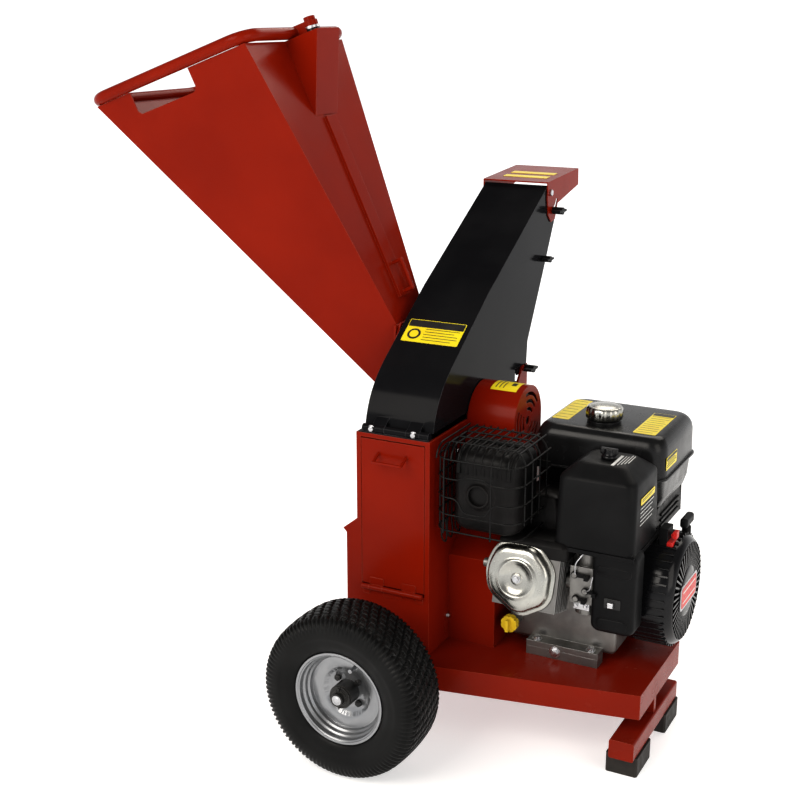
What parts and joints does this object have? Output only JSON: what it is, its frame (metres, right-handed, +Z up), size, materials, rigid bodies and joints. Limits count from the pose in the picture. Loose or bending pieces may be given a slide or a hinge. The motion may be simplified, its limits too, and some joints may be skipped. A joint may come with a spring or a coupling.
{
  "type": "petrol wood chipper",
  "caption": "Wheeled petrol wood chipper: tall red feed hopper, black discharge chute with tilting deflector, belt-driven disc rotor and a recoil-start engine on a plate base.",
  "frame": {"origin": "centre of the footprint box on the ground", "axes": "+Z up, +X from the hopper towards the engine feet, -Y towards the side with the housing door, muffler and valve cover"},
  "size_m": [1.2754, 1.0048, 1.3857],
  "materials": {
    "tyre": "matte rubber",
    "rim": "silver paint",
    "hub": "black paint",
    "steel": "zinc",
    "red": "gloss powder coat",
    "black": "gloss black powder coat",
    "rubber": "matte",
    "cast": "cast",
    "plastic": "matte",
    "gloss": "gloss",
    "chrome": "bright",
    "yellow": "gloss",
    "redplastic": "gloss",
    "iron": "machined"
  },
  "bodies": {
    "chassis": {"air_cleaner_base": "plastic", "air_cleaner_cover": "plastic", "base_plate": "red", "bearing_cartridge": "iron", "bed_knife": "steel", "belt_guard": "red", "carburettor": "cast", "control_cowl": "plastic", "crankcase": "cast", "cross_tube": "red", "cylinder_head": "cast", "drive_belts": "rubber", "engine_rails": "cast", "far_axle": "steel", "foot_bolts": "steel", "fuel_tank": "black", "hood_hinge_bar": "steel", "hopper": "red", "main_bearings": "steel", "muffler": "black", "muffler_cage": "black", "near_axle": "steel", "recoil_housing": "gloss", "rotor_bearings": "steel", "rotor_housing": "red", "rubber_feet": "rubber", "scroll_liner": "iron", "switch_box": "red", "valve_cover": "chrome"},
    "near_wheel": {"near_tyre": "tyre", "near_rim": "rim", "near_hub": "hub"},
    "far_wheel": {"far_tyre": "tyre", "far_rim": "rim", "far_hub": "hub"},
    "door": {"housing_door": "red"},
    "rotor": {"rotor_disc": "iron", "knives": "steel", "rotor_shaft": "steel", "rotor_pulley": "iron"},
    "crank": {"crankshaft": "steel", "engine_pulley": "iron", "flywheel": "iron"},
    "chute": {"hood": "black", "hood_studs": "steel"},
    "outlet_deflector": {"deflector": "red"},
    "latch_wing": {"latch_knob": "plastic"},
    "chute_wing": {"chute_knob": "plastic"},
    "clamp_wing": {"clamp_knob": "plastic"},
    "stop_bar": {"safety_bar": "red"},
    "starter_grip": {"recoil_grip": "plastic"},
    "starter_spool": {"recoil_spool": "iron"},
    "switch_rocker": {"engine_switch": "redplastic"},
    "tank_cap": {"fuel_cap": "chrome"},
    "air_nut": {"air_knob": "plastic"},
    "dipstick": {"oil_cap": "yellow"},
    "throttle": {"throttle_lever": "plastic"},
    "choke": {"choke_lever": "plastic"},
    "fuel_tap": {"fuel_lever": "plastic"}
  },
  "joints": [
    {"name": "near_wheel_spin", "type": "hinge", "parent": "chassis", "child": "near_wheel", "pos_m": [0.10973, -0.43862, 0.165], "axis": [0, 1, 0], "continuous": true},
    {"name": "far_wheel_spin", "type": "hinge", "parent": "chassis", "child": "far_wheel", "pos_m": [0.10973, 0.40338, 0.165], "axis": [0, 1, 0], "continuous": true},
    {"name": "rotor_spin", "type": "hinge", "parent": "chassis", "child": "rotor", "pos_m": [0.10973, -0.01762, 0.603], "axis": [1, 0, 0], "continuous": true},
    {"name": "crank_spin", "type": "hinge", "parent": "chassis", "child": "crank", "pos_m": [0.30973, -0.02962, 0.309], "axis": [1, 0, 0], "continuous": true},
    {"name": "door_fold", "type": "hinge", "parent": "chassis", "child": "door", "pos_m": [0.10973, -0.26262, 0.29], "axis": [1, 0, 0], "range_deg": [0, 62]},
    {"name": "chute_tip", "type": "hinge", "parent": "chassis", "child": "chute", "pos_m": [0.10973, -0.25062, 0.6184], "axis": [1, 0, 0], "range_deg": [0, 70]},
    {"name": "deflector_tilt", "type": "hinge", "parent": "chute", "child": "outlet_deflector", "pos_m": [0.10973, 0.32738, 1.013], "axis": [1, 0, 0], "range_deg": [-35, 0]},
    {"name": "latch_wing_turn", "type": "hinge", "parent": "chute", "child": "latch_wing", "pos_m": [0.18973, 0.21138, 0.646], "axis": [1, 0, 0], "range_deg": [0, 180]},
    {"name": "chute_wing_turn", "type": "hinge", "parent": "chute", "child": "chute_wing", "pos_m": [0.18973, 0.30038, 0.872], "axis": [1, 0, 0], "range_deg": [0, 180]},
    {"name": "clamp_wing_turn", "type": "hinge", "parent": "chute", "child": "clamp_wing", "pos_m": [0.18973, 0.34738, 0.972], "axis": [1, 0, 0], "range_deg": [0, 180]},
    {"name": "stop_bar_swing", "type": "hinge", "parent": "chassis", "child": "stop_bar", "pos_m": [-0.20602, -0.01762, 1.36203], "axis": [-0.3355, 0, 0.9421], "range_deg": [-4, 4], "stiffness_Nm_per_rad": 60},
    {"name": "starter_pull", "type": "slide", "parent": "chassis", "child": "starter_grip", "axis": [0, 0, 1], "range_m": [0, 0.09], "stiffness_N_per_m": 40},
    {"name": "starter_spool_turn", "type": "hinge", "parent": "chassis", "child": "starter_spool", "pos_m": [0.60973, -0.02962, 0.309], "axis": [1, 0, 0], "range_deg": [-5, 115.4]},
    {"name": "switch_rock", "type": "hinge", "parent": "chassis", "child": "switch_rocker", "pos_m": [0.60673, -0.05762, 0.432], "axis": [0, 1, 0], "range_deg": [0, 14]},
    {"name": "tank_cap_turn", "type": "hinge", "parent": "chassis", "child": "tank_cap", "pos_m": [0.42373, 0.04238, 0.616], "axis": [0, 0, 1], "range_deg": [0, 90]},
    {"name": "air_nut_turn", "type": "hinge", "parent": "chassis", "child": "air_nut", "pos_m": [0.49373, -0.12962, 0.6], "axis": [0, 0, 1], "range_deg": [0, 360]},
    {"name": "dipstick_turn", "type": "hinge", "parent": "chassis", "child": "dipstick", "pos_m": [0.31573, -0.16262, 0.226], "axis": [0, -1, 0], "range_deg": [0, 360]},
    {"name": "throttle_move", "type": "hinge", "parent": "chassis", "child": "throttle", "pos_m": [0.45973, -0.20062, 0.374], "axis": [0, 1, 0], "range_deg": [-12, 12]},
    {"name": "choke_move", "type": "hinge", "parent": "chassis", "child": "choke", "pos_m": [0.48173, -0.20062, 0.344], "axis": [0, 1, 0], "range_deg": [-10, 10]},
    {"name": "fuel_tap_move", "type": "hinge", "parent": "chassis", "child": "fuel_tap", "pos_m": [0.46373, -0.20062, 0.326], "axis": [0, 1, 0], "range_deg": [-10, 10]}
  ],
  "couplings": [
    {"joint": "crank_spin", "follows": "rotor_spin", "ratio": 1.1739},
    {"joint": "starter_spool_turn", "follows": "starter_pull", "rad_per_m": 20.833}
  ]
}
